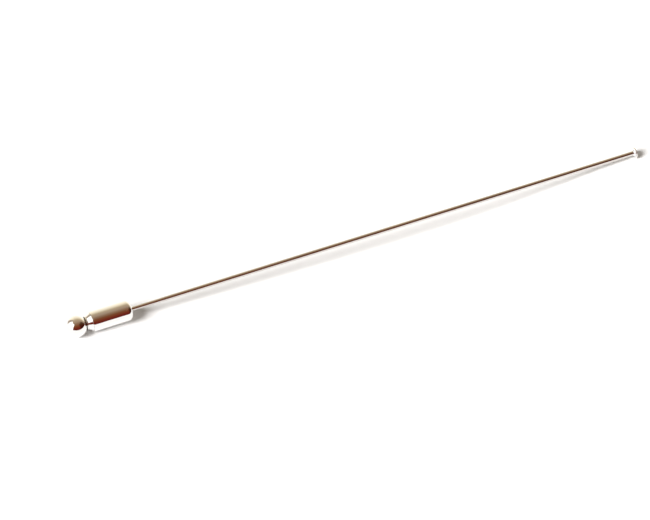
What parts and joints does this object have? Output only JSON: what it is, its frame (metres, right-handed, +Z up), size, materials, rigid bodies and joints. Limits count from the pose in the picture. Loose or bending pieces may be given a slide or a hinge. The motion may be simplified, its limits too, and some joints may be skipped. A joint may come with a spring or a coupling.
{
  "type": "stick pin with pull-release clutch",
  "caption": "Long polished hat or lapel pin: a needle with a small disc head, and a ball-lock barrel clutch on its point that lets go when its ball knob is pulled.",
  "frame": {"origin": "centre of the head disc's outer face", "axes": "+X along the needle from the head to the point and the clutch, +Z up as the pin lies"},
  "size_m": [0.12, 0.0042, 0.0042],
  "materials": {
    "plated_wire": "polished white-metal plating over drawn steel wire",
    "plated_head": "polished white-metal plating, a little softer at the stamped faces",
    "bright_solder": "bright silver solder, slightly uneven",
    "plated_shell": "mirror-polished white-metal plating over turned brass",
    "turned_brass": "bare turned brass with fine lathe rings",
    "spring_steel": "drawn spring steel",
    "hard_steel": "polished hardened steel"
  },
  "bodies": {
    "pin": {"needle": "plated_wire", "head_disc": "plated_head", "head_solder": "bright_solder"},
    "clutch": {"barrel": "plated_shell", "taper_sleeve": "turned_brass", "rear_bush": "plated_shell", "spring": "spring_steel"},
    "plunger": {"ball_cage": "turned_brass", "knob": "plated_shell"},
    "lock_ball_1": {"ball_1": "hard_steel"},
    "lock_ball_2": {"ball_2": "hard_steel"},
    "lock_ball_3": {"ball_3": "hard_steel"}
  },
  "joints": [
    {"name": "clutch_slide", "type": "slide", "parent": "pin", "child": "clutch", "axis": [1, 0, 0], "range_m": [0, 0.03]},
    {"name": "knob_pull", "type": "slide", "parent": "clutch", "child": "plunger", "axis": [1, 0, 0], "range_m": [0, 0.001], "stiffness_N_per_m": 400, "springref_m": -0.001, "deforming": ["spring"]},
    {"name": "ball_1_lift", "type": "slide", "parent": "plunger", "child": "lock_ball_1", "axis": [0, 0, 1], "range_m": [0, 0.00017633]},
    {"name": "ball_2_lift", "type": "slide", "parent": "plunger", "child": "lock_ball_2", "axis": [0, 0.866, -0.5], "range_m": [0, 0.00017633]},
    {"name": "ball_3_lift", "type": "slide", "parent": "plunger", "child": "lock_ball_3", "axis": [0, -0.866, -0.5], "range_m": [0, 0.00017633]}
  ],
  "couplings": [
    {"joint": "ball_1_lift", "follows": "knob_pull", "ratio": 0.17633},
    {"joint": "ball_2_lift", "follows": "knob_pull", "ratio": 0.17633},
    {"joint": "ball_3_lift", "follows": "knob_pull", "ratio": 0.17633}
  ]
}
